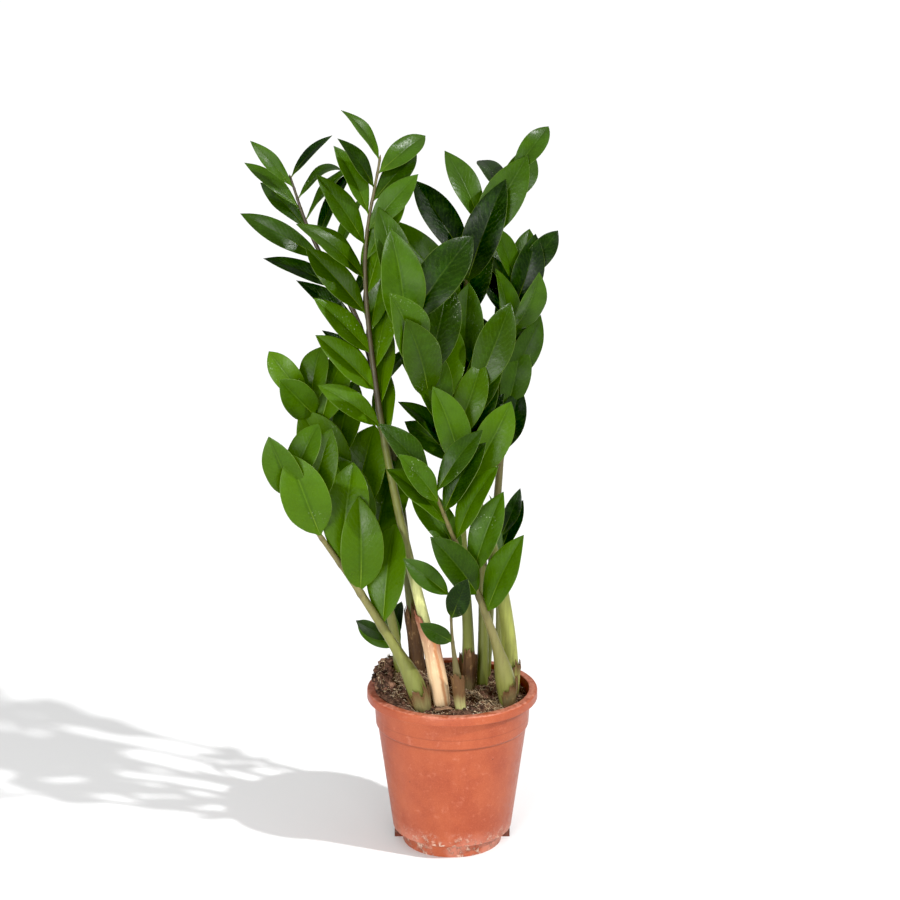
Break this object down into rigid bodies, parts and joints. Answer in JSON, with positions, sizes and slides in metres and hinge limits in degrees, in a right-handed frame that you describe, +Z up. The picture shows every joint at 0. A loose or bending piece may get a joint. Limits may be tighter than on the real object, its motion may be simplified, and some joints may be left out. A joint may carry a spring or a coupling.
{
  "type": "potted zz plant",
  "caption": "Potted ZZ plant: arching leafy stems with glossy leaflets in a round plastic nursery pot filled with potting mix.",
  "frame": {"origin": "centre of the pot's flat base, on the surface it stands on", "axes": "+Z up, -Y to the front, +X to the viewer's right; the crown leans to -X"},
  "size_m": [0.31, 0.2182, 0.735],
  "materials": {
    "pot_plastic": "satin terracotta-coloured plastic with lime scale at the foot",
    "potting_mix": "loose dark peat and fibre",
    "foliage": "waxy glossy green leaf",
    "dry_sheath": "dry papery scale leaf"
  },
  "bodies": {
    "root": {"pot": "pot_plastic", "soil": "potting_mix", "stem_main": "foliage", "stem_tall_left": "foliage", "stem_tall_right": "foliage", "stem_arching": "foliage", "stem_front_left": "foliage", "stem_mid_left": "foliage", "stem_front_right": "foliage", "stem_rosette": "foliage", "stem_right": "foliage", "shoot_front": "foliage", "shoot_left": "foliage", "shoot_right": "foliage", "sheath_main": "dry_sheath", "sheath_tall_left": "dry_sheath", "sheath_arching": "dry_sheath", "sheath_front_left": "dry_sheath", "sheath_front_right": "dry_sheath", "sheath_rosette": "dry_sheath", "sheath_front": "dry_sheath"}
  },
  "joints": []
}
